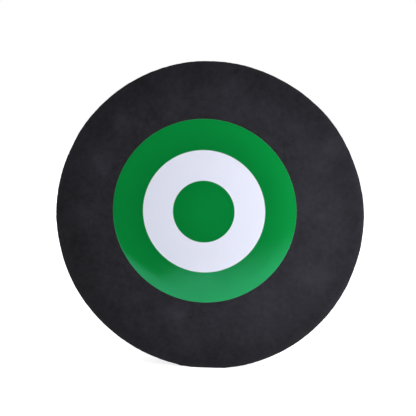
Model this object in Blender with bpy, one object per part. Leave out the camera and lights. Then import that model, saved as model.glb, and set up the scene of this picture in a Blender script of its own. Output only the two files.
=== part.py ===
"""A round foam target that stands on its rim.

Five foam sheets are glued into one thick disc, and a printed vinyl decal with a bullseye is stuck on the front.
The front faces -Y, the back +Y, and +Z is up. The origin is under the middle of the disc, on the ground.

Every piece is a turned shape. Its own Z axis is the disc's axis and points out of the front, its own X points
right and its own Y up, as someone facing the target sees them.
"""

from math import cos, pi, radians, sin, sqrt, tau

import bmesh
import bpy

MM = 0.001

# The foam disc
DISC_RADIUS = 150 * MM
SHEET_THICKNESS = 9.4 * MM
FRONT_EDGE_RADIUS = 1.5 * MM    # the front edge, pressed round by the cutting die
BACK_EDGE_RADIUS = 0.8 * MM     # the back edge
SEAM_EDGE_RADIUS = 0.4 * MM     # a sheet's edge where the next sheet meets it
CROWN_BAND = 25 * MM            # how far in from the rim the front face starts to fall back
CROWN_DROP = 0.9 * MM           # how far it has fallen at the rim
FOOT_WIDTH = 24 * MM            # the flat that the disc stands on

# The glue between two sheets
GLUE_THICKNESS = 0.15 * MM
GLUE_RECESS = 1.5 * MM          # how far the glue stays in from the rim

# The decal
DECAL_RADIUS = 90 * MM
WHITE_RING_RADIUS = 60 * MM     # outer radius of the white ring
CENTRE_SPOT_RADIUS = 30 * MM
FILM_THICKNESS = 0.2 * MM
INK_THICKNESS = 0.1 * MM
DECAL_RIGHT = -3.4 * MM         # the decal's centre from the disc's centre: it sits left of it
DECAL_UP = 5.5 * MM             # and above it

# What is left between two pieces that touch on the real thing
CLEARANCE = 0.3 * MM

# How finely the round shapes are cut into flat faces
TURNS = 96
CROWN_STEPS = 5
CORNER_STEPS = 3
SMOOTH_BELOW = radians(30)

SHEET_NAMES = (
    "front_foam_sheet",
    "second_foam_sheet",
    "middle_foam_sheet",
    "fourth_foam_sheet",
    "back_foam_sheet",
)

# Places along the disc's axis, from the back face
SEAM = GLUE_THICKNESS + 2 * CLEARANCE
SHEET_PITCH = SHEET_THICKNESS + SEAM
FOAM_FRONT = len(SHEET_NAMES) * SHEET_THICKNESS + (len(SHEET_NAMES) - 1) * SEAM
FILM_BACK = FOAM_FRONT + CLEARANCE
INK_BACK = FILM_BACK + FILM_THICKNESS + CLEARANCE
WHOLE_DEPTH = INK_BACK + INK_THICKNESS

# The height of the disc's centre over the ground: the foot's flat is a chord of the disc
AXIS_HEIGHT = sqrt(DISC_RADIUS**2 - (FOOT_WIDTH / 2) ** 2)


def clear_scene():
    """Starts from an empty scene."""
    for obj in list(bpy.data.objects):
        bpy.data.objects.remove(obj, do_unlink=True)


def material(name, colour, roughness):
    """A plain finish with no metal in it."""
    finish = bpy.data.materials.new(name)
    finish.use_nodes = True
    shader = finish.node_tree.nodes["Principled BSDF"]
    shader.inputs["Base Color"].default_value = (*colour, 1)
    shader.inputs["Roughness"].default_value = roughness
    shader.inputs["Metallic"].default_value = 0
    finish.diffuse_color = (*colour, 1)
    return finish


def turned_mesh(name, profile, ring=False):
    """A solid turned about Z from (radius, height) points.

    The two ends of an open profile are closed with flat round faces. The profile of a ring is a closed loop.
    """
    bm = bmesh.new()
    points = [bm.verts.new((radius, 0, height)) for radius, height in profile]
    pairs = list(zip(points, points[1:]))
    if ring:
        pairs.append((points[-1], points[0]))
    lines = [bm.edges.new(pair) for pair in pairs]
    bmesh.ops.spin(
        bm,
        geom=points + lines,
        axis=(0, 0, 1),
        cent=(0, 0, 0),
        angle=tau,
        steps=TURNS,
        use_merge=True,
    )
    open_edges = [edge for edge in bm.edges if edge.is_boundary]
    if open_edges:
        bmesh.ops.edgeloop_fill(bm, edges=open_edges)
    bmesh.ops.recalc_face_normals(bm, faces=bm.faces)
    mesh = bpy.data.meshes.new(name)
    bm.to_mesh(mesh)
    bm.free()
    mesh.shade_smooth()
    mesh.set_sharp_from_angle(angle=SMOOTH_BELOW)
    return mesh


def corner(radius, height, rounding, start, end):
    """A rounded corner as (radius, height) points, about a centre, from one angle to another."""
    angles = [start + (end - start) * step / CORNER_STEPS for step in range(CORNER_STEPS + 1)]
    return [(radius + rounding * cos(angle), height + rounding * sin(angle)) for angle in angles]


def sheet_profile(front_rounding, back_rounding, crown_drop=0.0):
    """Half the section of a foam sheet, from its front face round the rim to its back face."""
    crown_start = DISC_RADIUS - CROWN_BAND
    crown_end = DISC_RADIUS - front_rounding
    profile = []
    if crown_drop:
        for step in range(CROWN_STEPS):
            along = step / CROWN_STEPS
            radius = crown_start + (crown_end - crown_start) * along
            profile.append((radius, SHEET_THICKNESS - crown_drop * along**2))
    front_centre = SHEET_THICKNESS - crown_drop - front_rounding
    profile += corner(crown_end, front_centre, front_rounding, pi / 2, 0)
    profile += corner(DISC_RADIUS - back_rounding, back_rounding, back_rounding, 0, -pi / 2)
    return profile


def flat_profile(radius, thickness):
    """Half the section of a plain thin disc."""
    return [(radius, thickness), (radius, 0)]


def ring_profile(inner_radius, outer_radius, thickness):
    """The section of a thin flat ring."""
    return [
        (inner_radius, thickness),
        (outer_radius, thickness),
        (outer_radius, 0),
        (inner_radius, 0),
    ]


def disc_axis():
    """The empty that carries every piece: the disc's axis where it meets the back face."""
    axis = bpy.data.objects.new("disc_axis", None)
    bpy.context.scene.collection.objects.link(axis)
    axis.location = (0, WHOLE_DEPTH / 2, AXIS_HEIGHT)
    axis.rotation_euler = (pi / 2, 0, 0)
    return axis


def place(name, mesh, axis, finish, right=0.0, up=0.0, out=0.0):
    """Puts a piece on the disc's axis: right and up as seen from the front, and out from the back face."""
    piece = bpy.data.objects.new(name, mesh)
    bpy.context.scene.collection.objects.link(piece)
    piece.parent = axis
    piece.location = (right, up, out)
    if finish:
        mesh.materials.append(finish)
    return piece


def foot_cutter(axis):
    """A block that takes away what lies below the ground, so that the disc gets its flat foot."""
    bm = bmesh.new()
    bmesh.ops.create_cube(bm, size=1)
    spare = DISC_RADIUS / 2
    height = DISC_RADIUS - AXIS_HEIGHT + spare
    bmesh.ops.scale(bm, vec=(2 * DISC_RADIUS, height, WHOLE_DEPTH + 2 * spare), verts=bm.verts)
    mesh = bpy.data.meshes.new("foot_cutter")
    bm.to_mesh(mesh)
    bm.free()
    cutter = place("foot_cutter", mesh, axis, None, up=-AXIS_HEIGHT - height / 2, out=WHOLE_DEPTH / 2)
    cutter.hide_render = True
    cutter.display_type = "WIRE"
    return cutter


def cut_foot(piece, cutter):
    """Cuts the flat foot on one piece."""
    cut = piece.modifiers.new("flat_foot", "BOOLEAN")
    cut.operation = "DIFFERENCE"
    cut.solver = "EXACT"
    cut.object = cutter


def foam_sheets(axis, cutter):
    """The five sheets of the disc, front to back, all cut to one outline."""
    foam = material("charcoal_foam", (0.023, 0.022, 0.027), 0.9)
    last = len(SHEET_NAMES) - 1
    for index, name in enumerate(SHEET_NAMES):
        profile = sheet_profile(
            front_rounding=SEAM_EDGE_RADIUS if index else FRONT_EDGE_RADIUS,
            back_rounding=SEAM_EDGE_RADIUS if index < last else BACK_EDGE_RADIUS,
            crown_drop=0 if index else CROWN_DROP,
        )
        sheet = place(name, turned_mesh(name, profile), axis, foam, out=(last - index) * SHEET_PITCH)
        cut_foot(sheet, cutter)


def glue_films(axis, cutter):
    """The glue between each two sheets, numbered from the front."""
    glue = material("dried_glue", (0.45, 0.33, 0.16), 0.45)
    seams = len(SHEET_NAMES) - 1
    for number in range(1, seams + 1):
        name = f"glue_film_{number}"
        profile = flat_profile(DISC_RADIUS - GLUE_RECESS, GLUE_THICKNESS)
        out = (seams - number) * SHEET_PITCH + SHEET_THICKNESS + CLEARANCE
        film = place(name, turned_mesh(name, profile), axis, glue, out=out)
        cut_foot(film, cutter)


def decal(axis):
    """The die-cut vinyl film and the two green areas printed on it."""
    vinyl = material("white_vinyl", (0.76, 0.78, 0.90), 0.2)
    ink = material("green_ink", (0.004, 0.21, 0.037), 0.2)
    pieces = (
        ("decal_film", flat_profile(DECAL_RADIUS, FILM_THICKNESS), vinyl, FILM_BACK),
        ("printed_outer_ring", ring_profile(WHITE_RING_RADIUS, DECAL_RADIUS, INK_THICKNESS), ink, INK_BACK),
        ("printed_centre_spot", flat_profile(CENTRE_SPOT_RADIUS, INK_THICKNESS), ink, INK_BACK),
    )
    for name, profile, finish, out in pieces:
        mesh = turned_mesh(name, profile, ring=len(profile) > 2)
        place(name, mesh, axis, finish, right=DECAL_RIGHT, up=DECAL_UP, out=out)


def build():
    """Makes the whole target."""
    clear_scene()
    axis = disc_axis()
    cutter = foot_cutter(axis)
    foam_sheets(axis, cutter)
    glue_films(axis, cutter)
    decal(axis)


build()
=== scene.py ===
# %% [markdown]
# # A round foam target
#
# The object is a thick charcoal foam disc, 300 mm across, that stands on its rim. Five foam sheets are
# glued into one block and the disc is cut through the stack, so its rim shows five bands and four thin
# seams. On the front is a glossy vinyl decal with a green and white bullseye, stuck on a little left of
# the middle and above.
#
# The construction model gives the real sizes and places. Everything here is dressed onto it.

# %% Load the frame
from math import cos, pi, radians, sin

import bmesh
import bpy
from mathutils import Matrix, Vector


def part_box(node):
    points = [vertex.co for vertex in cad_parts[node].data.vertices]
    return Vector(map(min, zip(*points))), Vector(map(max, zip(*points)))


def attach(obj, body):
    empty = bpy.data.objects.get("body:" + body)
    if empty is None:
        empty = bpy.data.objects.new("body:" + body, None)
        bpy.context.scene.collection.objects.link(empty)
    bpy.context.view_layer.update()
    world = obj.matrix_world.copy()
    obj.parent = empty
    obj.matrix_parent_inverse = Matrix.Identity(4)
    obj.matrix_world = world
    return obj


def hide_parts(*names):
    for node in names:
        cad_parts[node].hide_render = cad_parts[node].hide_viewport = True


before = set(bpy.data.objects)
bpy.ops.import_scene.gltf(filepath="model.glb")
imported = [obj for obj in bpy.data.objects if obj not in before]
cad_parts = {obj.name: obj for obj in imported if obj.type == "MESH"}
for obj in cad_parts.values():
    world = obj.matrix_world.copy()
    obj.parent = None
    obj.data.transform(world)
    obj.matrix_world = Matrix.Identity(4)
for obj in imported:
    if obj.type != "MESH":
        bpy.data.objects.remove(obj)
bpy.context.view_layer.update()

MM = 0.001


def rounded(numbers):
    """Numbers in metres, made short enough to print."""
    return tuple(round(number, 4) for number in numbers)


# %% [markdown]
# ## The disc's own axes
#
# Each piece could be modelled where it stands, but a disc is easiest to think about face on. So each
# piece is first made with its axis along Z: X is right and Y is up for someone who faces the target, and
# Z comes out of the front. One matrix then stands the finished mesh upright in the room. The numbers in
# it are read from the construction model, so nothing has to be fitted by eye.

# %% Read the disc's size and place
SHEETS = (
    "front_foam_sheet",
    "second_foam_sheet",
    "middle_foam_sheet",
    "fourth_foam_sheet",
    "back_foam_sheet",
)
GLUES = ("glue_film_1", "glue_film_2", "glue_film_3", "glue_film_4")

foam_low, foam_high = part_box(SHEETS[0])
DISC_RADIUS = (foam_high[0] - foam_low[0]) / 2
AXIS_HEIGHT = foam_high[2] - DISC_RADIUS
FRONT_Y, BACK_Y = foam_low[1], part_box(SHEETS[-1])[1][1]
FOAM_FRONT = BACK_Y - FRONT_Y
UPRIGHT = Matrix.Translation((0, BACK_Y, AXIS_HEIGHT)) @ Matrix.Rotation(pi / 2, 4, "X")


def span(node):
    """Where a node starts and ends along the disc's axis, counted from the back face."""
    low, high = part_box(node)
    return BACK_Y - high[1], BACK_Y - low[1]


print(f"disc radius {DISC_RADIUS:.4f}, axis {AXIS_HEIGHT:.4f} high, foam {FOAM_FRONT:.4f} thick")

# %% Read the decal's size and place
film_low, film_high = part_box("decal_film")
spot_low, spot_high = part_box("printed_centre_spot")
DECAL_RADIUS = (film_high[0] - film_low[0]) / 2
SPOT_RADIUS = (spot_high[0] - spot_low[0]) / 2
RING_INNER = 2 * SPOT_RADIUS                # where the white ends and the outer green ring starts
LAID_RIGHT, LAID_UP = 0.3 * MM, 0.3 * MM    # how far from its marks a hand laid the decal
DECAL_X = (film_high[0] + film_low[0]) / 2 + LAID_RIGHT
DECAL_Y = (film_high[2] + film_low[2]) / 2 - AXIS_HEIGHT + LAID_UP
print(f"decal radius {DECAL_RADIUS:.4f} at {DECAL_X:+.4f}, {DECAL_Y:+.4f} from the disc's centre")

# %% [markdown]
# ## The camera
#
# A camera could be moved about until the picture looks right. Here its place was worked out instead, from
# the disc's outline and the three circles of the decal: 6.5 degrees to the right, 6.1 degrees above and
# 0.86 m away, with a 77 mm lens. Seen along the disc's axis, the lens is 141 mm from it. That is less
# than the disc's radius, so the front face hides the whole rim.

# %% Place the camera
VIEW_RIGHT, VIEW_UP = radians(6.52), radians(6.10)
VIEW_DISTANCE = 859 * MM
AIM_RIGHT, AIM_UP = 1.12 * MM, 9.44 * MM    # the point that the lens aims at, from the disc's centre
FOCAL_LENGTH, SENSOR_WIDTH = 76.77, 36.0    # in mm, as on a real camera
NEAREST, FURTHEST = 0.05, 60.0

aim = Vector((AIM_RIGHT, FRONT_Y, AXIS_HEIGHT + AIM_UP))
away = Vector((sin(VIEW_RIGHT) * cos(VIEW_UP), -cos(VIEW_RIGHT) * cos(VIEW_UP), sin(VIEW_UP)))
lens = bpy.data.cameras.new("camera")
lens.lens, lens.sensor_width = FOCAL_LENGTH, SENSOR_WIDTH
lens.clip_start, lens.clip_end = NEAREST, FURTHEST
camera = bpy.data.objects.new("camera", lens)
bpy.context.scene.collection.objects.link(camera)
camera.location = aim + away * VIEW_DISTANCE
camera.rotation_euler = (-away).to_track_quat("-Z", "Y").to_euler()
bpy.context.scene.camera = camera
bpy.context.scene.view_settings.view_transform = "Standard"
from_axis = Vector((camera.location.x, camera.location.z - AXIS_HEIGHT)).length
print("camera at", rounded(camera.location), "and", round(from_axis, 3), "from the disc's axis")

# %% [markdown]
# ## Writing node trees as sums
#
# Both shapes and finishes below are node trees, and a tree of Math nodes is hard to read. The small class
# here stands for one output in a tree. Python's own + - * / on it add the Math nodes, so that a rule can
# be written as the formula it is.


# %% Helpers for node trees
def fill_in(tree, node, inputs):
    """Fills a node's inputs, by name or in order, with plain values, other nodes' outputs or Values."""
    pairs = inputs.items() if isinstance(inputs, dict) else enumerate(inputs)
    for name, value in pairs:
        value = value.socket if isinstance(value, Value) else value
        if isinstance(value, bpy.types.NodeSocket):
            tree.links.new(value, node.inputs[name])
        else:
            node.inputs[name].default_value = value


def add(tree, kind, inputs=(), output=0, **options):
    """Adds a node, sets its options, fills its inputs and returns one of its outputs."""
    made = tree.nodes.new(kind)
    for option, value in options.items():
        setattr(made, option, value)
    fill_in(tree, made, inputs)
    return made.outputs[output]


class Value:
    """A number that a node tree works out at each point."""

    def __init__(self, tree, socket):
        self.tree, self.socket = tree, socket

    def sum(self, operation, *others):
        """One Math node, with this number first."""
        return Value(self.tree, add(self.tree, "ShaderNodeMath", (self, *others), operation=operation))

    def __add__(self, other):
        return self.sum("ADD", other)

    def __sub__(self, other):
        return self.sum("SUBTRACT", other)

    def __mul__(self, other):
        return self.sum("MULTIPLY", other)

    def __truediv__(self, other):
        return self.sum("DIVIDE", other)

    def __neg__(self):
        return self * -1.0

    def __rsub__(self, other):
        return -self + other

    def power(self, exponent):
        return self.sum("POWER", exponent)

    def at_least(self, other):
        return self.sum("MAXIMUM", other)

    def at_most(self, other):
        return self.sum("MINIMUM", other)

    def clamped(self):
        """Kept between 0 and 1."""
        return self.at_least(0.0).at_most(1.0)

    def root(self):
        """The square root, and 0 below 0."""
        return self.at_least(0.0).sum("SQRT")


# %% Helpers for places and patterns in a tree
def vector(tree, x, y, z):
    """Three numbers as one vector."""
    return add(tree, "ShaderNodeCombineXYZ", (x, y, z))


def split(tree, place):
    """A vector as its three numbers."""
    parts = tree.nodes.new("ShaderNodeSeparateXYZ")
    tree.links.new(place, parts.inputs[0])
    return [Value(tree, output) for output in parts.outputs]


def noise(tree, where, cells, seed=0.0, detail=2.0, roughness=0.5):
    """A soft random pattern about 0, from about -1 to 1, with so many cells to a unit of length."""
    inputs = {"Vector": where, "W": seed, "Scale": cells, "Detail": detail, "Roughness": roughness}
    made = add(tree, "ShaderNodeTexNoise", inputs, noise_dimensions="4D")
    return (Value(tree, made) - 0.5) * 2.0


def bell(x, y, right, up, half_width, half_height):
    """A soft patch about a place: 1 in its middle, and almost nothing at twice its half sizes."""
    across, along = (x - right) / half_width, (y - up) / half_height
    return (-(across * across + along * along)).sum("EXPONENT")


# %% [markdown]
# ## A tree that makes one layer of the block
#
# Foam sheets and glue films are all the same kind of shape: a flat disc with a cut rim. Each could be a
# cylinder with a bevel, but a rim that was cut by hand is never that round, and the layers have to share
# its errors. So one geometry tree makes them all, with a named input for each size. It starts from a
# cylinder with many rings on its faces, and then moves every point by rules:
#
# - the points on the side are gathered towards both edges, so that a rounded edge gets enough of them,
# - the edges are rounded, and the front face can fall back a little towards the rim,
# - the rim has the errors of the cut, the same for every layer, since one cut made them all: the foam
#   swells a little behind the blade, the blade wanders by a few tenths of a millimetre, runs out and in
#   at some places, and leaves a fine ripple,
# - each layer also has a small error of its own, and a sheet bulges out between its glue lines,
# - the front of the block and its back wave softly,
# - everything under the ground is lifted onto it: that is the flat foot.

# %% Shape of the blade's path
CUT_SWELL = 0.17 * MM       # foam that springs back from the blade comes out a little large
CUT_WANDER = 0.30 * MM
CUT_RIPPLE = 0.35 * MM
RIPPLE_LENGTH = 4.5 * MM    # along the rim
RIPPLE_THROUGH = 2.0        # draws the ripple out to 15 mm from front to back
WANDER_CELLS = 1.3          # cells of the slow error to the disc's radius
OWN_CELLS = 4.0             # and of each layer's own error
WANDER_SEED, RIPPLE_SEED = 1.0, 2.0
ONLY_RIM = 24.0             # errors fade away from the rim as this power of the distance from the middle
# Where the cut runs outside the round or inside it: the angle from the right, half its length along the
# rim and how far outside (both mm). The short one is the nub where the blade met its own start.
CUT_LUMPS = (
    (-100, 3, 0.45),
    (4, 20, 0.42),
    (22, 14, -0.25),
    (39, 16, 0.24),
    (64, 30, -0.28),
    (97, 22, 0.27),
    (133, 18, -0.13),
    (153, 11, -0.32),
    (177, 24, 0.48),
    (225, 36, -0.26),
    (262, 12, 0.20),
    (283, 30, 0.37),
    (314, 22, -0.14),
    (341, 12, -0.42),
)


def cut_error(tree, size, x, y, height):
    """How far outside the round the cut ran, beside each point of a layer."""
    # Noise is read on a circle of radius 1, so that it joins up all the way round.
    across, up = x / size["Radius"], y / size["Radius"]
    circle = vector(tree, across, up, 0.0)
    side = vector(tree, across, up, height * RIPPLE_THROUGH)
    wander = noise(tree, circle, WANDER_CELLS, seed=WANDER_SEED, detail=1.0) * (2 * CUT_WANDER)
    ripple = noise(tree, side, DISC_RADIUS / RIPPLE_LENGTH, seed=RIPPLE_SEED) * CUT_RIPPLE
    own = noise(tree, circle, OWN_CELLS, seed=size["Seed"], detail=1.0) * size["Own error"]
    for degrees, length, outside in CUT_LUMPS:
        lump_x, lump_y = DISC_RADIUS * cos(radians(degrees)), DISC_RADIUS * sin(radians(degrees))
        wander = wander + bell(x, y, lump_x, lump_y, length * MM, length * MM) * (outside * MM)
    return wander + ripple + own


print(len(CUT_LUMPS), "lumps and dents, at most", max(lump[2] for lump in CUT_LUMPS), "mm outside")

# %% Shape of a rounded edge
HAIR = 0.01 * MM            # smaller than anything that shows


def rounded_edge(rounding, half, height):
    """How far a rounded edge draws a point in from the rim, and how much the point belongs to the face."""
    past = (height - (half - rounding)).at_least(0.0)
    drawn_in = rounding - (rounding * rounding - past * past).root()
    return drawn_in, drawn_in / rounding.at_least(HAIR)


# %% Shape and shade of the front face
UNEVEN_SIZE, UNEVEN_SEED = 45 * MM, 3.7             # how long the soft waves of a foam face are
FRONT_UNEVEN = 0.10 * MM
RIM_BAND_FROM, RIM_BAND_FULL = 108 * MM, 139 * MM     # where the band that is darker near the rim starts and is full
OUTER_RIM_FROM, OUTER_RIM_EASING = 144 * MM, 0.3             # and where it is lighter again, on the very edge, and by how much


def unevenness(tree, x, y):
    """The soft waves of a foam face, about 0. The decal follows the same ones."""
    return noise(tree, vector(tree, x, y, 0.0), 1 / UNEVEN_SIZE, seed=UNEVEN_SEED, detail=1.0)


def rim_band_darkness(distance):
    """How much darker the face is at a distance from its middle, from 0 to 1."""
    rim_band = ((distance - RIM_BAND_FROM) / (RIM_BAND_FULL - RIM_BAND_FROM)).clamped()
    outer_rim = ((distance - OUTER_RIM_FROM) / (DISC_RADIUS - OUTER_RIM_FROM)).clamped()
    return rim_band * (1.0 - outer_rim * OUTER_RIM_EASING)


print(f"pressed dark from {RIM_BAND_FROM:.3f} outwards, rubbed paler from {OUTER_RIM_FROM:.3f}")

# %% Start and end of a geometry tree
SHARP_ANGLE = radians(40)


def new_tree(name, numbers, counts):
    """An empty geometry tree with named inputs. Returns it with its input node."""
    tree = bpy.data.node_groups.new(name, "GeometryNodeTree")
    tree.interface.new_socket("Geometry", in_out="INPUT", socket_type="NodeSocketGeometry")
    for kind, inputs in (("NodeSocketFloat", numbers), ("NodeSocketInt", counts)):
        for label, start in inputs.items():
            tree.interface.new_socket(label, in_out="INPUT", socket_type=kind).default_value = start
    tree.interface.new_socket("Finish", in_out="INPUT", socket_type="NodeSocketMaterial")
    tree.interface.new_socket("Geometry", in_out="OUTPUT", socket_type="NodeSocketGeometry")
    return tree, tree.nodes.new("NodeGroupInput")


def store(tree, geometry, name, value):
    """Stores a number at each point, for a finish to read."""
    inputs = {"Geometry": geometry, "Name": name, "Value": value}
    return add(tree, "GeometryNodeStoreNamedAttribute", inputs, data_type="FLOAT", domain="POINT")


def close_tree(tree, given, geometry):
    """Ends a tree: no instances are left, smooth shading stops at sharp edges, and the finish is set."""
    whole = add(tree, "GeometryNodeRealizeInstances", (geometry,))
    smooth = add(tree, "GeometryNodeSetShadeSmooth", {"Geometry": whole, "Shade Smooth": True})
    corner = Value(tree, add(tree, "GeometryNodeInputMeshEdgeAngle")).sum("GREATER_THAN", SHARP_ANGLE)
    creased = {"Geometry": smooth, "Selection": corner, "Shade Smooth": False}
    sharp = add(tree, "GeometryNodeSetShadeSmooth", creased, domain="EDGE")
    dressed = add(tree, "GeometryNodeSetMaterial", {"Geometry": sharp, "Material": given.outputs["Finish"]})
    tree.links.new(dressed, tree.nodes.new("NodeGroupOutput").inputs[0])


# %% [markdown]
# ## The whole layer tree
#
# The tree below puts these shapes together. It works in numbers that are easy to reason about: a point's
# distance from the middle, and its level, which is -1 on the back face and 1 on the front face.
#
# A finish can't know by itself which part of a sheet was cut and where its face is darker near the rim. So
# the tree also stores some numbers at each point. They are stored first, while the points are still where
# the rules read them.

# %% Build the layer tree
LAYER_INPUTS = {
    "Radius": DISC_RADIUS,
    "Thickness": 10 * MM,
    "Front rounding": 0.4 * MM,
    "Back rounding": 0.4 * MM,
    "Crown band": 25 * MM,
    "Crown drop": 0.0,
    "Front unevenness": 0.0,
    "Back unevenness": 0.0,
    "Own error": 0.1 * MM,
    "Bulge": 0.12 * MM,
    "Middle": 0.0,
    "Foot": AXIS_HEIGHT,
    "Seed": 0.0,
    "Shade": 0.0,
}
LAYER_COUNTS = {"Corners": 720, "Side steps": 24, "Face rings": 40}


def layer_tree():
    """The tree for a foam sheet or a glue film, about its own middle and then moved along the axis."""
    tree, given = new_tree("foam_layer", LAYER_INPUTS, LAYER_COUNTS)
    size = {label: Value(tree, given.outputs[label]) for label in LAYER_INPUTS}
    radius, half = size["Radius"], size["Thickness"] * 0.5
    cylinder = {
        "Vertices": given.outputs["Corners"],
        "Side Segments": given.outputs["Side steps"],
        "Fill Segments": given.outputs["Face rings"],
        "Radius": radius,
        "Depth": size["Thickness"],
    }
    marked = add(tree, "GeometryNodeMeshCylinder", cylinder)
    x, y, z = split(tree, add(tree, "GeometryNodeInputPosition"))

    # Points on the side gather towards the edges, along a sine.
    height = (z / half * (pi / 2)).sum("SINE") * half
    level = height / half
    front, back = level.clamped(), (-level).clamped()

    # The rim: its rounded edges, its errors and the bulge of a sheet between its glue lines.
    front_inset, front_share = rounded_edge(size["Front rounding"], half, height)
    back_inset, back_share = rounded_edge(size["Back rounding"], half, -height)
    inset, faced = front_inset + back_inset, front_share + back_share
    bulge = (1.0 - level * level) * size["Bulge"]
    error = cut_error(tree, size, x, y, height) + bulge - size["Bulge"] * 0.5 + CUT_SWELL
    far = (x * x + y * y).root()
    at_rim = (far / radius).power(ONLY_RIM)
    stretch = 1.0 - (inset - at_rim * error) / radius

    # The faces: the front one falls back towards the rim, and both wave softly.
    new_far = far * stretch
    fallen = ((new_far - (radius - size["Crown band"])) / size["Crown band"]).clamped()
    crown = fallen * fallen * size["Crown drop"] * front
    waves = unevenness(tree, x, y)
    front_wave, back_wave = waves * size["Front unevenness"] * front, waves * size["Back unevenness"] * back

    marks = {
        "cut": (1.0 - faced).clamped(),
        # how much darker the front face is in a band near the rim, less so on the very edge
        "rim_band": rim_band_darkness(new_far) * front,
        "backing": faced.clamped() * back,
        "batch": size["Seed"],
        "shade": size["Shade"],
    }
    for name, value in marks.items():
        marked = store(tree, marked, name, value)
    new_y = (y * stretch).at_least(-size["Foot"])
    new_z = height - crown + front_wave + back_wave + size["Middle"]
    moved = {"Geometry": marked, "Position": vector(tree, x * stretch, new_y, new_z)}
    close_tree(tree, given, add(tree, "GeometryNodeSetPosition", moved))
    return tree


layer = layer_tree()
print("layer tree:", len(layer.nodes), "nodes")

# %% [markdown]
# ## From a tree to a plain piece
#
# A tree could stay on its piece and be worked out again each time. But a finished piece is a plain mesh
# that any program can read, standing in the room, with its object at the origin. So the tree is run
# once, the result is copied to a new mesh, the tree is taken off, and the matrix stands the mesh upright.


# %% Helpers for pieces
def new_object(name, mesh):
    """Puts a mesh into the scene."""
    piece = bpy.data.objects.new(name, mesh)
    bpy.context.scene.collection.objects.link(piece)
    return piece


def run_tree(piece, tree, **inputs):
    """Runs a geometry tree on a piece with these inputs, and leaves the result as its plain mesh."""
    modifier = piece.modifiers.new("shape", "NODES")
    modifier.node_group = tree
    named = {item.name: item.identifier for item in tree.interface.items_tree if item.in_out == "INPUT"}
    for label, value in inputs.items():
        modifier[named[label.replace("_", " ").capitalize()]] = value
    bpy.context.view_layer.update()
    evaluated = piece.evaluated_get(bpy.context.evaluated_depsgraph_get())
    made = bpy.data.meshes.new_from_object(evaluated)
    piece.modifiers.clear()
    piece.data = made
    made.name = piece.name


def stand_up(piece, slot, *nodes):
    """Stands a finished piece upright, hangs it on the root and hides the parts of the construction model
    that it stands for.
    """
    piece.data.transform(UPRIGHT)
    piece.data.update()
    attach(piece, "root")
    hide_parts(*nodes)
    print(f"{piece.name}: {len(piece.data.vertices)} points, {rounded(piece.dimensions)} m")


# %% Helpers for finishes
def new_finish(name):
    """An empty finish: its tree, its shader and the place of each point in the room."""
    finish = bpy.data.materials.new(name)
    finish.use_nodes = True
    tree = finish.node_tree
    where = add(tree, "ShaderNodeTexCoord", output="Object")
    return finish, tree, tree.nodes["Principled BSDF"], where


def mix(tree, share, first, second):
    """Blends two colours, which are inputs 6 and 7 and output 2 of Blender's Mix node."""
    return add(tree, "ShaderNodeMix", {0: share, 6: first, 7: second}, output=2, data_type="RGBA")


def bump(tree, height, distance, strength):
    """Raises the surface by a height pattern, in metres."""
    return add(tree, "ShaderNodeBump", {"Height": height, "Distance": distance, "Strength": strength})


def stretched(tree, where, *scale):
    """Places for a pattern that is drawn out along an axis, by a scale under 1 there."""
    return add(tree, "ShaderNodeMapping", {"Vector": where, "Scale": scale})


def attribute(tree, name):
    """A number that a geometry tree stored at each point."""
    return Value(tree, add(tree, "ShaderNodeAttribute", output="Fac", attribute_name=name))


# %% [markdown]
# ## Charcoal foam
#
# The foam is closed-cell EVA, almost black with a touch of violet. One dark colour would look like paint.
# What makes it foam is a face that is nowhere even: broad patches, clouds, a mottle and a fine grain, one
# over the other, and hardly any gloss.
#
# The rest is how the sheets were worked. Where the blade cut the rim the cells are open, so it is a
# little paler, with coarser pits and streaks from front to back; on the front's rounded edge that paler
# tone is also a painted highlight. The sheets were split from a thick block, which leaves faint level
# lines on their backs. The front face is darker in a band near its edge, and lighter again on the very
# edge. Each sheet came from a batch of its own shade.

# %% Patterns in the foam
# How fine each pattern is, in cells to the metre, and how strongly it shows.
BROAD_CELLS, BROAD_SHARE = 28.0, 0.25
CLOUD_CELLS, CLOUD_SHARE = 62.0, 0.40
MOTTLE_CELLS, MOTTLE_SHARE = 220.0, 0.42
GRAIN_CELLS, GRAIN_SHARE = 800.0, 0.35
STREAK_CELLS, STREAK_SHARE, STREAK_DRAWN = 600.0, 0.7, 0.08
LINE_CELLS, LINE_SHARE, LINE_DRAWN = 300.0, 0.35, 0.05
PORE_CELLS, PORE_SMOOTH, PORE_DEPTH = 1500.0, 0.4, 0.05 * MM
# The cut rim is a little paler, since its cells are open; on the front's rounded edge this paler tone is
# also a painted highlight.
CUT_PALER_AND_EDGE_HIGHLIGHT = 0.15
# how much darker the band near the front's rim is, and how that rises towards the rim
RIM_BAND_DARKER, RIM_BAND_CURVE = 0.29, 1.5
FOAM_ROUGHNESS, GRAIN_ROUGHER = 0.72, 0.05
for cells in (BROAD_CELLS, CLOUD_CELLS, MOTTLE_CELLS, GRAIN_CELLS):
    print(f"a pattern of {1 / cells / MM:.1f} mm")


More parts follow.
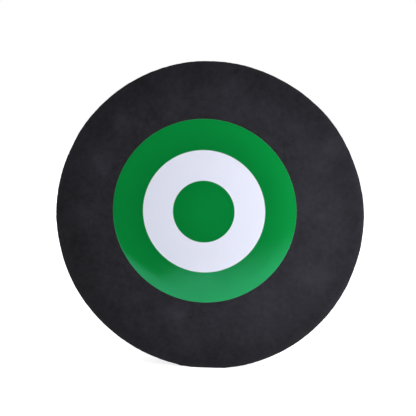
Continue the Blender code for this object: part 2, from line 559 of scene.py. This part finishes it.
# %% Foam finish
def foam_finish():
    """Charcoal foam: its faces, darker in a band near the front's rim, its cut rim and its split back."""
    finish, tree, shader, where = new_finish("charcoal_foam")
    cut, batch, rim_band = attribute(tree, "cut"), attribute(tree, "batch"), attribute(tree, "rim_band")
    broad = noise(tree, where, BROAD_CELLS, seed=batch, detail=1.0)
    clouds = noise(tree, where, CLOUD_CELLS, seed=batch, detail=3.0, roughness=0.6)
    mottle = noise(tree, where, MOTTLE_CELLS, seed=batch)
    grain = noise(tree, where, GRAIN_CELLS, seed=batch, roughness=0.6)
    along_blade = stretched(tree, where, 1.0, STREAK_DRAWN, 1.0)
    streaks = noise(tree, along_blade, STREAK_CELLS, seed=batch, detail=4.0, roughness=0.6)
    along_knife = stretched(tree, where, LINE_DRAWN, 1.0, 1.0)
    lines = noise(tree, along_knife, LINE_CELLS, seed=batch)

    cloudy = broad * BROAD_SHARE + clouds * CLOUD_SHARE + mottle * MOTTLE_SHARE + grain * GRAIN_SHARE
    sliced_and_edge_lit = cut * (streaks * STREAK_SHARE + CUT_PALER_AND_EDGE_HIGHLIGHT) + attribute(tree, "backing") * lines * LINE_SHARE
    # The smudges hold painted light too: two broad patches make the face paler at the right and darker at
    # the left.
    tone = cloudy + sliced_and_edge_lit + attribute(tree, "smudged_and_lit") + attribute(tree, "shade") + 1.0
    # Darker in a band near the front's rim, and less so on the very edge.
    tone = tone * (1.0 - rim_band.power(RIM_BAND_CURVE) * RIM_BAND_DARKER)
    # A tone of 1 is the foam's own colour, which lies halfway between these two.
    black, twice = (0.0, 0.0, 0.0, 1.0), (0.0431, 0.0415, 0.0538, 1.0)

    pores = {"Vector": where, "Scale": PORE_CELLS, "Smoothness": PORE_SMOOTH}
    cells = Value(tree, add(tree, "ShaderNodeTexVoronoi", pores, feature="SMOOTH_F1"))
    skin = grain * 0.5 + cells * 0.5
    raised = skin * (1.0 - cut) + (streaks + cells) * cut
    look = {
        "Base Color": mix(tree, tone * 0.5, black, twice),
        "Roughness": grain * GRAIN_ROUGHER + FOAM_ROUGHNESS,
        "Sheen Weight": 0.01,
        "Sheen Roughness": 0.5,
        "Specular IOR Level": 0.2,
        "Normal": bump(tree, raised, PORE_DEPTH, strength=0.7),
    }
    fill_in(tree, shader, look)
    return finish


foam = foam_finish()
print("foam finish:", len(foam.node_tree.nodes), "nodes")

# %% [markdown]
# ## Dried glue
#
# Contact glue dries clear amber and stays a little shiny. Only its edge shows, as a hair line between the
# bands, so a blotchy colour is enough: no clear body with light in it has to be worked out.

# %% Glue finish
BLOTCH_CELLS, BLOTCH_DEPTH = 160.0, 0.05 * MM
GLUE_ROUGHNESS, BLOTCH_ROUGHER = 0.42, 0.08


def glue_finish():
    """Amber glue, in thin and thick places."""
    finish, tree, shader, where = new_finish("dried_glue")
    blotches = noise(tree, where, BLOTCH_CELLS)
    thin, thick = (0.10, 0.075, 0.045, 1.0), (0.20, 0.145, 0.075, 1.0)
    look = {
        "Base Color": mix(tree, (blotches * 0.5 + 0.5).clamped(), thin, thick),
        "Roughness": blotches * BLOTCH_ROUGHER + GLUE_ROUGHNESS,
        "Normal": bump(tree, blotches, BLOTCH_DEPTH, strength=0.6),
    }
    fill_in(tree, shader, look)
    return finish


glue = glue_finish()
print("glue finish:", len(glue.node_tree.nodes), "nodes")

# %% [markdown]
# ## Smudges and painted light
#
# A black foam face shows every touch. Thumbs and thrown things have left a few pale smudges on the front
# one, and some places stayed darker. A noise could strew smudges too, but not where these are. So they
# are a short list of places. A small tree adds them up as soft bells, bends their outlines with a
# noise, and stores the sum at each point for the foam finish.
# Two broad patches in the list are painted light: paler towards the right, where the key light falls,
# darker at the left.

# %% Places of the smudges and the painted light
# Right of the disc's centre and above it, half width (all mm), and how much paler than the rest.
SMUDGES_AND_PAINTED_LIGHT = (
    (-82, 93, 8, 0.32),
    (-106, 50, 10, 0.42),
    (-124, 3, 9, 0.36),
    (120, 69, 9, 0.60),
    (110, 57, 10, 0.15),
    (119, -27, 10, 0.20),
    (110, -64, 13, 0.26),
    (-30, -94, 9, 0.50),
    (57, -115, 12, 0.24),
    (37, -117, 15, 0.12),
    (26, 127, 10, 0.20),
    (-26, 112, 7, 0.18),
    (-32, 103, 9, 0.16),
    (84, 14, 12, 0.26),
    (94, -46, 15, 0.20),
    (70, -98, 42, 0.18),
    (68, 100, 28, 0.07),
    (-90, 86, 18, -0.12),
    # Painted light: these two broad patches make the face paler towards the right, where the key light
    # falls, and darker at the left.
    (122, 5, 70, 0.12),
    (-125, 10, 75, -0.05),
    (88, 37, 16, -0.16),
    (-108, -38, 26, -0.20),
    (-89, -100, 8, -0.30),
    (-73, -93, 8, -0.26),
    (-57, -88, 8, -0.24),
    (-8, 128, 16, -0.16),
    (-72, 73, 9, -0.14),
    (134, 50, 8, -0.12),
    (137, -2, 9, -0.18),
    (137, -52, 8, -0.14),
    (3, -136, 12, -0.16),
)
pale = [patch for patch in SMUDGES_AND_PAINTED_LIGHT if patch[3] > 0]
print(len(pale), "pale smudges and", len(SMUDGES_AND_PAINTED_LIGHT) - len(pale), "dark ones")

# %% Build the tree of smudges and painted light
SMUDGE_BEND, BEND_SIZE = 7 * MM, 9 * MM
BEND_ACROSS_SEED, BEND_UP_SEED = 11.0, 12.0


def smudge_and_light_tree():
    """The tree that adds up the smudges and two patches of painted light, and stores their sum."""
    tree, given = new_tree("smudges_and_light", {}, {})
    x, y, _ = split(tree, add(tree, "GeometryNodeInputPosition"))
    flat = vector(tree, x, y, 0.0)
    x = x + noise(tree, flat, 1 / BEND_SIZE, seed=BEND_ACROSS_SEED) * SMUDGE_BEND
    y = y + noise(tree, flat, 1 / BEND_SIZE, seed=BEND_UP_SEED) * SMUDGE_BEND
    smudged_and_lit = x * 0.0
    for right, up, width, paler in SMUDGES_AND_PAINTED_LIGHT:
        smudged_and_lit = smudged_and_lit + bell(x, y, right * MM, up * MM, width * MM, width * MM) * paler
    close_tree(tree, given, store(tree, given.outputs["Geometry"], "smudged_and_lit", smudged_and_lit))
    return tree


smudges_and_light = smudge_and_light_tree()
print("smudge tree:", len(smudges_and_light.nodes), "nodes")

# %% [markdown]
# ## The five foam sheets
#
# One thick disc with grooves would look much the same, but the real block comes apart into five sheets,
# so each is a piece. They share one tree and differ only in their inputs. The front sheet has the
# pressed, rounder front edge and the face that falls back near the rim. The back sheet has a plain face.
# In the construction model the neighbours stay 0.3 mm apart; here each sheet reaches the glue, less a
# hair. The faces between the sheets never show, so they get hardly any rings.

# %% Make the foam sheets
FRONT_ROUNDING, BACK_ROUNDING, SEAM_ROUNDING = 1.5 * MM, 0.8 * MM, 0.4 * MM
CROWN_DROP = 0.9 * MM
BACK_UNEVEN = 0.12 * MM
SHADES = (0.0, 0.07, -0.06, 0.04, -0.03)    # how much paler each sheet's batch came out
FIRST_BATCH, BATCH_STEP = 10.0, 7.0         # seeds
SHOWN_RINGS, HIDDEN_RINGS = 40, 2

for number, name in enumerate(SHEETS):
    back, front = span(name)
    is_front, is_back = name == SHEETS[0], name == SHEETS[-1]
    if not is_front:
        front = span(GLUES[number - 1])[0] - HAIR
    if not is_back:
        back = span(GLUES[number])[1] + HAIR
    sheet = new_object(name + "_cut", bpy.data.meshes.new(name))
    run_tree(
        sheet,
        layer,
        Thickness=front - back,
        Middle=(front + back) / 2,
        Front_rounding=FRONT_ROUNDING if is_front else SEAM_ROUNDING,
        Back_rounding=BACK_ROUNDING if is_back else SEAM_ROUNDING,
        Crown_drop=CROWN_DROP if is_front else 0.0,
        Front_unevenness=FRONT_UNEVEN if is_front else 0.0,
        Back_unevenness=BACK_UNEVEN if is_back else 0.0,
        Face_rings=SHOWN_RINGS if is_front or is_back else HIDDEN_RINGS,
        Seed=FIRST_BATCH + BATCH_STEP * number,
        Shade=SHADES[number],
        Finish=foam,
    )
    if is_front:
        run_tree(sheet, smudges_and_light, Finish=foam)
    stand_up(sheet, "charcoal_foam", name)

# %% [markdown]
# ## The glue films
#
# Glue is spread right up to the rim and squeezed as the stack is pressed, so its edge is ragged and stays
# just inside the foam's. A line painted on the rim would lie flush with it and have no depth. So the
# films are layers too, from the same tree: very thin, without rounded edges, and with a larger error of
# their own.

# %% Make the glue films
GLUE_RECESS = 0.35 * MM
GLUE_RAGGED = 0.25 * MM
GLUE_STEPS = 2                              # on the side and on each face, since only the edge shows
FIRST_SPREAD, SPREAD_STEP = 60.0, 5.0       # seeds

for number, name in enumerate(GLUES):
    back, front = span(name)
    film = new_object(name + "_line", bpy.data.meshes.new(name))
    run_tree(
        film,
        layer,
        Radius=DISC_RADIUS - GLUE_RECESS,
        Thickness=front - back,
        Middle=(front + back) / 2,
        Front_rounding=0.0,
        Back_rounding=0.0,
        Own_error=GLUE_RAGGED,
        Bulge=0.0,
        Side_steps=GLUE_STEPS,
        Face_rings=GLUE_STEPS,
        Seed=FIRST_SPREAD + SPREAD_STEP * number,
        Finish=glue,
    )
    stand_up(film, "dried_glue", name)

# %% [markdown]
# ## The decal
#
# The decal is one die-cut disc of white vinyl, with green printed on it in two places. It could be a flat
# circle with a picture on it, but then its edge would catch no light. So a section is drawn as (radius,
# height) points and turned about the decal's centre. Its last 12 mm are pressed back by a quarter of a
# millimetre, so the film leans outward there by up to two and a half degrees. That lean is what makes a
# bright crescent along the lower left in the picture: the edge mirrors a nearer part of the table.

# %% Section of the film
FILM_LIFT = 0.02 * MM                           # the film's back over the foam
FILM_THICKNESS = 0.32 * MM
FILM_RADIUS = DECAL_RADIUS - 0.45 * MM          # cut a little inside its marks
EDGE_BAND, EDGE_DROP = 12.0 * MM, 0.25 * MM     # the pressed edge
LIP_BAND, LIP_DROP = 0.5 * MM, 0.05 * MM        # the lip that the die rounded
# How far apart a section's points are: in the middle, near the edge and on the lip.
STEP, EDGE_STEP, LIP_STEP = 1.5 * MM, 0.5 * MM, 0.06 * MM
INNERMOST = 0.3 * MM                            # a small round face closes what lies inside it


def film_front(radius):
    """How far the film's front stands out from its back, at a distance from the decal's centre."""
    along = max(0.0, (radius - (FILM_RADIUS - EDGE_BAND)) / EDGE_BAND)
    lip = max(0.0, (radius - (FILM_RADIUS - LIP_BAND)) / LIP_BAND)
    return FILM_THICKNESS - EDGE_DROP * along**2 - LIP_DROP * lip**2


def stations(inner, outer):
    """Distances from the centre at which a section has points: closer together near the pressed edge."""
    places, radius = [inner], inner
    while True:
        on_lip = radius >= FILM_RADIUS - LIP_BAND - LIP_STEP
        near_edge = radius >= FILM_RADIUS - EDGE_BAND - STEP
        radius += LIP_STEP if on_lip else EDGE_STEP if near_edge else STEP
        if radius >= outer - LIP_STEP / 2:
            return [*places, outer]
        places.append(radius)


thickest, thinnest = film_front(0.0) / MM, film_front(FILM_RADIUS) / MM
print(f"film radius {FILM_RADIUS:.4f}, front {thickest:.2f} mm out, and {thinnest:.2f} mm at its edge")

# %% Turn a section
TURNS = 480


def turn(name, front, back):
    """Turns a section about the decal's centre. Front and back are its sides, from the middle outwards."""
    bm = bmesh.new()
    section = [bm.verts.new((radius, 0, height)) for radius, height in [*front, *reversed(back)]]
    lines = [bm.edges.new(pair) for pair in zip(section, section[1:])]
    is_ring = front[0][0] > STEP
    if is_ring:
        lines.append(bm.edges.new((section[-1], section[0])))
    bmesh.ops.spin(
        bm,
        geom=section + lines,
        axis=(0, 0, 1),
        cent=(0, 0, 0),
        angle=2 * pi,
        steps=TURNS,
        use_merge=True,
    )
    open_edges = [edge for edge in bm.edges if edge.is_boundary]
    if open_edges:
        bmesh.ops.edgeloop_fill(bm, edges=open_edges)
    bmesh.ops.recalc_face_normals(bm, faces=bm.faces)
    bmesh.ops.translate(bm, vec=(DECAL_X, DECAL_Y, FOAM_FRONT + FILM_LIFT), verts=bm.verts)
    mesh = bpy.data.meshes.new(name)
    bm.to_mesh(mesh)
    bm.free()
    return mesh


# %% [markdown]
# ## A tree that lays the decal on the foam
#
# The film is thin, so it follows the soft waves of the foam under it. A bump in its finish could look
# like that from the front, but not in a grazing view. This tree moves each point out by the same waves
# that the front sheet has, and adds the film's own faint ones, which make a reflection in it waver.

# %% Build the tree that lays the film on the foam
FILM_WAVE = 0.010 * MM
FILM_WAVE_SIZE, FILM_WAVE_SEED = 16 * MM, 8.0


def lay_tree():
    """The tree that moves a flat film out by the foam's waves and its own."""
    tree, given = new_tree("lie_on_foam", {"Foam waves": FRONT_UNEVEN, "Film waves": FILM_WAVE}, {})
    x, y, _ = split(tree, add(tree, "GeometryNodeInputPosition"))
    own_waves = noise(tree, vector(tree, x, y, 0.0), 1 / FILM_WAVE_SIZE, seed=FILM_WAVE_SEED)
    foam_wave = unevenness(tree, x, y) * Value(tree, given.outputs["Foam waves"])
    film_wave = own_waves * Value(tree, given.outputs["Film waves"])
    offset = vector(tree, 0.0, 0.0, foam_wave + film_wave)
    moved = {"Geometry": given.outputs["Geometry"], "Offset": offset}
    close_tree(tree, given, add(tree, "GeometryNodeSetPosition", moved))
    return tree


lay_on_foam = lay_tree()
print("laying tree:", len(lay_on_foam.nodes), "nodes")

# %% [markdown]
# ## Glossy vinyl and ink
#
# The film is cool white vinyl and the print is a strong green. Both have the same smooth clear front,
# with faint smears that dull it here and there and a very faint orange peel from the foam's grain under
# the film. The ink bends light more than vinyl does, so it mirrors more, and it tints what it mirrors a
# little green.
#
# The print could be one flat green. But it is darkest beside the white, it thins out at its borders where
# it runs a little into the white, and a pale line runs along the cut.

# %% Vinyl finish
SMEAR_CELLS, SMEAR_SEED, SMEAR_ROUGHER, SMOOTH = 30.0, 5.0, 0.02, 0.07
PEEL_CELLS, PEEL_SEED, PEEL_DEPTH = 420.0, 2.0, 0.004 * MM
VINYL_CELLS = 60.0


def gloss(tree, where):
    """The smooth clear front that vinyl and ink share."""
    smears = noise(tree, where, SMEAR_CELLS, seed=SMEAR_SEED, detail=3.0)
    peel = noise(tree, where, PEEL_CELLS, seed=PEEL_SEED, detail=1.0)
    raised = bump(tree, peel, PEEL_DEPTH, strength=0.3)
    return {"Roughness": smears * SMEAR_ROUGHER + SMOOTH, "Normal": raised}


def vinyl_finish():
    """Cool white vinyl, a shade thinner in some places."""
    finish, tree, shader, where = new_finish("white_vinyl")
    mottle = noise(tree, where, VINYL_CELLS, detail=3.0)
    thin, full = (0.810, 0.830, 0.967, 1), (0.830, 0.850, 0.987, 1)
    white = mix(tree, (mottle * 0.5 + 0.5).clamped(), thin, full)
    fill_in(tree, shader, {"Base Color": white, **gloss(tree, where)})
    return finish


vinyl = vinyl_finish()
print("vinyl finish:", len(vinyl.node_tree.nodes), "nodes")

# %% Ink finish
RING_PRINT_INNER = RING_INNER - 0.5 * MM        # the print runs a little into the white
SPOT_PRINT_RADIUS = SPOT_RADIUS + 0.2 * MM
PRINT_FADE = 0.4 * MM                           # and thins out over this much of its border
BESIDE_WHITE, BESIDE_FADES = 0.18, 1.15         # how much darker beside the white, and how soon that ends
SPOT_SLOWER = 0.55                              # it ends more slowly in the spot
PALE_EDGE, PALE_SHARE = 0.6 * MM, 0.8           # the pale line along the cut
INK_CELLS, INK_MOTTLE, INK_TONE = 180.0, 0.02, 0.98


def ink_finish():
    """The green print, by the distance from the decal's centre."""
    finish, tree, shader, where = new_finish("green_ink")
    x, _, z = split(tree, where)
    right, up = x - DECAL_X, z - (AXIS_HEIGHT + DECAL_Y)
    far = (right * right + up * up).root()
    from_white = ((SPOT_RADIUS - far) * SPOT_SLOWER).at_least(far - RING_INNER) / SPOT_RADIUS
    into_print = (SPOT_PRINT_RADIUS - far).at_least(far - RING_PRINT_INNER) / PRINT_FADE
    into_cut = (far - (FILM_RADIUS - PALE_EDGE)) / (PALE_EDGE * 0.5)

    mottle = noise(tree, where, INK_CELLS, detail=3.0)
    beside = (1.0 - from_white.clamped() * BESIDE_FADES).clamped()
    tone = (beside * -BESIDE_WHITE + mottle * INK_MOTTLE + INK_TONE).clamped()
    black, full = (0.0, 0.0, 0.0, 1), (0.0022, 0.272, 0.0445, 1)
    thin, pale_cut = (0.30, 0.64, 0.52, 1), (0.022, 0.272, 0.077, 1)
    printed = mix(tree, into_print.clamped(), thin, mix(tree, tone, black, full))
    look = {
        "Base Color": mix(tree, into_cut.clamped() * PALE_SHARE, printed, pale_cut),
        "IOR": 1.6,
        "Specular IOR Level": 1.0,
        "Specular Tint": (0.21, 1.0, 0.76, 1),
        **gloss(tree, where),
    }
    fill_in(tree, shader, look)
    return finish


ink = ink_finish()
print("ink finish:", len(ink.node_tree.nodes), "nodes")

# %% [markdown]
# ## The film and the print
#
# The green could be a colour in the film's own finish. But ink is another material with another gloss, so
# each printed area is a piece: a coat 0.016 mm thick that follows the film's front. A gap of a few
# thousandths of a millimetre keeps the faces from lying in one place, where a renderer couldn't tell
# which comes first.

# %% Make the film
film_places = stations(INNERMOST, FILM_RADIUS)
film_face = [(radius, film_front(radius)) for radius in film_places]
film_back = [(radius, 0.0) for radius in film_places]
film = new_object("decal_vinyl", turn("decal_vinyl", film_face, film_back))
run_tree(film, lay_on_foam, Finish=vinyl)
stand_up(film, "white_vinyl", "decal_film")

# %% Make the printed areas
INK_LIFT = 0.004 * MM
INK_THICKNESS = 0.016 * MM
INK_INSET = 0.002 * MM      # how far the print ends inside the film's cut


def print_area(name, node, inner, outer):
    """A thin coat of ink between two distances from the decal's centre, on the film's front."""
    places = stations(inner, outer)
    front = [(radius, film_front(radius) + INK_LIFT + INK_THICKNESS) for radius in places]
    back = [(radius, film_front(radius) + INK_LIFT) for radius in places]
    area = new_object(name, turn(name, front, back))
    run_tree(area, lay_on_foam, Finish=ink)
    stand_up(area, "green_ink", node)


print_area("green_outer_print", "printed_outer_ring", RING_PRINT_INNER, FILM_RADIUS - INK_INSET)
print_area("green_centre_print", "printed_centre_spot", INNERMOST, SPOT_PRINT_RADIUS)

# %% [markdown]
# ## The studio
#
# The target stands on a white table in front of a white sweep, and the room before the table is dim. The
# glossy decal mirrors both: its lower part shows the table, and the rest shows the room past the table's
# end. A small table could be modelled, but its edge would then show in other views. So the floor is one
# large white plane, and its finish draws the mirrored table, with its slanted corner, its edge and a few
# soft patches of light, for mirrored and refracted rays only. The camera sees plain white.

# %% Floor
FLOOR_SIDE = 8.0            # from the middle to each side
floor_corners = [(x * FLOOR_SIDE, y * FLOOR_SIDE, 0) for x, y in ((-1, -1), (1, -1), (1, 1), (-1, 1))]
floor_mesh = bpy.data.meshes.new("floor")
floor_mesh.from_pydata(floor_corners, [], [(0, 1, 2, 3)])
floor = new_object("floor", floor_mesh)
print("floor:", 2 * FLOOR_SIDE, "m wide")

# %% The mirrored table
TABLE_WHITE = 0.95
TABLE_BRIGHT = 0.45         # the table is bright up to here, in front of the disc
TABLE_END = 0.550           # and has gone dark here
TABLE_CORNER_X = -0.15      # to the left of here its end slants away
CORNER_SLANT = 0.8
TABLE_EDGE_X = -0.135       # from here on its end runs away to the right, and is softer
END_STEP_OUT, STEP_WITHIN = 0.10, 0.025     # it steps out first, within this width
END_TURN, END_CURVE = 0.66, 5.0             # and then runs on along a curve
END_WIDTH = 0.185                           # up to here
DIM_ROOM = 0.03             # how bright the room past the end is
DIM_RIGHT, DIM_RIGHT_FROM, DIM_RIGHT_WITHIN = 0.05, -0.05, 0.12     # it is this much lighter at the right
# Soft patches of light and shade on it: right, in front, half width, half length (all m), and how much
# brighter.
TABLE_PATCHES = (
    (-0.118, 0.450, 0.045, 0.075, -0.24),
    (-0.028, 0.495, 0.018, 0.045, -0.13),
    (-0.062, 0.520, 0.022, 0.060, 0.24),
    (-0.125, 0.600, 0.035, 0.050, 0.13),
)


def mirrored_table(x, ahead):
    """How bright the gloss sees the table and the room past it, at a place beside the disc and ahead."""
    slant = (TABLE_CORNER_X - x).at_least(0.0) * CORNER_SLANT
    aside = (x - TABLE_EDGE_X).at_least(0.0).at_most(END_WIDTH)
    stepped = (aside / STEP_WITHIN).clamped() * END_STEP_OUT + TABLE_END
    bright = slant + TABLE_BRIGHT
    end = aside * END_TURN + aside * aside * END_CURVE + stepped + slant
    beyond = ((ahead - bright) / (end - bright)).clamped()
    dim = ((x - DIM_RIGHT_FROM) / DIM_RIGHT_WITHIN).clamped() * DIM_RIGHT + DIM_ROOM
    mirrored = beyond * (dim - TABLE_WHITE) + TABLE_WHITE
    for right, front, half_width, half_length, brighter in TABLE_PATCHES:
        mirrored = mirrored + bell(x, ahead, right, front, half_width, half_length) * brighter
    return mirrored.clamped()


# %% Floor finish
# Near the disc the floor glows a little less than white, and lamplight makes up the rest, so that the
# disc's shadow shows. The glow rises to full white a little over a metre away.
GLOW_NEAR, GLOW_MORE, GLOW_RISE = 0.80, 0.20, 0.9


def ray_kinds(tree):
    """Three numbers, each 1 or 0: is a ray from the camera, is it mirrored, is it refracted."""
    path = tree.nodes.new("ShaderNodeLightPath")
    kinds = ("Is Camera Ray", "Is Glossy Ray", "Is Transmission Ray")
    return [Value(tree, path.outputs[kind]) for kind in kinds]


def floor_finish():
    """A white table top that glows for the camera, and shows the mirrored table to the gloss."""
    finish, tree, shader, where = new_finish("white_table")
    table_top = {"Base Color": (0.88, 0.88, 0.88, 1), "Roughness": 0.9, "Specular IOR Level": 0.0}
    fill_in(tree, shader, table_top)
    x, y, _ = split(tree, where)
    far = (x * x + y * y).root()
    white = (far * GLOW_RISE).clamped() * GLOW_MORE + GLOW_NEAR
    mirrored = mirrored_table(x, -y)

    seen, glossy, through = ray_kinds(tree)
    glow = add(tree, "ShaderNodeEmission", {"Strength": seen * white + (glossy + through) * mirrored})
    lit = add(tree, "ShaderNodeAddShader", (shader.outputs[0], glow))
    mirror = add(tree, "ShaderNodeEmission", {"Strength": mirrored})
    either = add(tree, "ShaderNodeMixShader", ((glossy + through).clamped(), lit, mirror))
    tree.links.new(either, tree.nodes["Material Output"].inputs["Surface"])
    return finish


floor_mesh.materials.append(floor_finish())
print("floor finish:", len(floor_mesh.materials[0].node_tree.nodes), "nodes")

# %% World
ROOM_LIGHT = 0.28                               # how strongly the room lights the object
SWEEP_SHARP, SWEEP_MIDDLE = 3.0, 0.5            # how fast the dim room goes over into the white sweep


def room():
    """A white sweep behind the disc, with a dim room in front of it for mirrored rays."""
    world = bpy.data.worlds.new("studio")
    world.use_nodes = True
    tree = world.node_tree
    _, y, _ = split(tree, add(tree, "ShaderNodeTexCoord", output="Generated"))
    behind = (y * SWEEP_SHARP + SWEEP_MIDDLE).clamped()
    mirrored = behind * (1.0 - DIM_ROOM) + DIM_ROOM
    seen, glossy, through = ray_kinds(tree)
    plain = (seen + glossy + through).clamped()
    strength = seen + through + glossy * mirrored + (1.0 - plain) * ROOM_LIGHT
    fill_in(tree, tree.nodes["Background"], {"Color": (1, 1, 1, 1), "Strength": strength})
    bpy.context.scene.world = world


room()
print("the room lights the object at", ROOM_LIGHT, "and its dim part is mirrored at", DIM_ROOM)

# %% [markdown]
# ## The lamps
#
# One sun would light the whole face alike. In the picture the light falls off across the foam, so the key
# is a small softbox that stands near, at the right and level with the disc. The fill stands further off
# at the left, and two large soft ones keep the top and the back from going black. Key and fill are kept
# out of every mirrored ray, because the glossy decal would show them as blown-out squares from some
# sides.

# %% Lamps
# Where each stands, its width, its power in watts and whether the gloss shows it.
LAMPS = {
    "key_softbox": ((0.563, -0.325, 0.185), 0.26, 4.08, False),
    "fill_softbox": ((-1.3, -0.75, 0.3), 0.5, 2.35, False),
    "top_softbox": ((0.0, -0.15, 1.85), 1.2, 2.7, True),
    "back_softbox": ((-0.6, 1.6, 1.0), 1.0, 8.0, True),
}


def softbox(name, place, width, power, mirrored):
    """A square lamp that faces the disc's centre."""
    light = bpy.data.lights.new(name, "AREA")
    light.shape, light.size, light.energy = "SQUARE", width, power
    lamp = bpy.data.objects.new(name, light)
    bpy.context.scene.collection.objects.link(lamp)
    lamp.location = place
    lamp.visible_glossy = mirrored
    towards = Vector((0, 0, AXIS_HEIGHT)) - lamp.location
    lamp.rotation_euler = towards.to_track_quat("-Z", "Y").to_euler()
    print(f"{name}: {power} W, {towards.length:.2f} m away")


for name, lamp in LAMPS.items():
    softbox(name, *lamp)
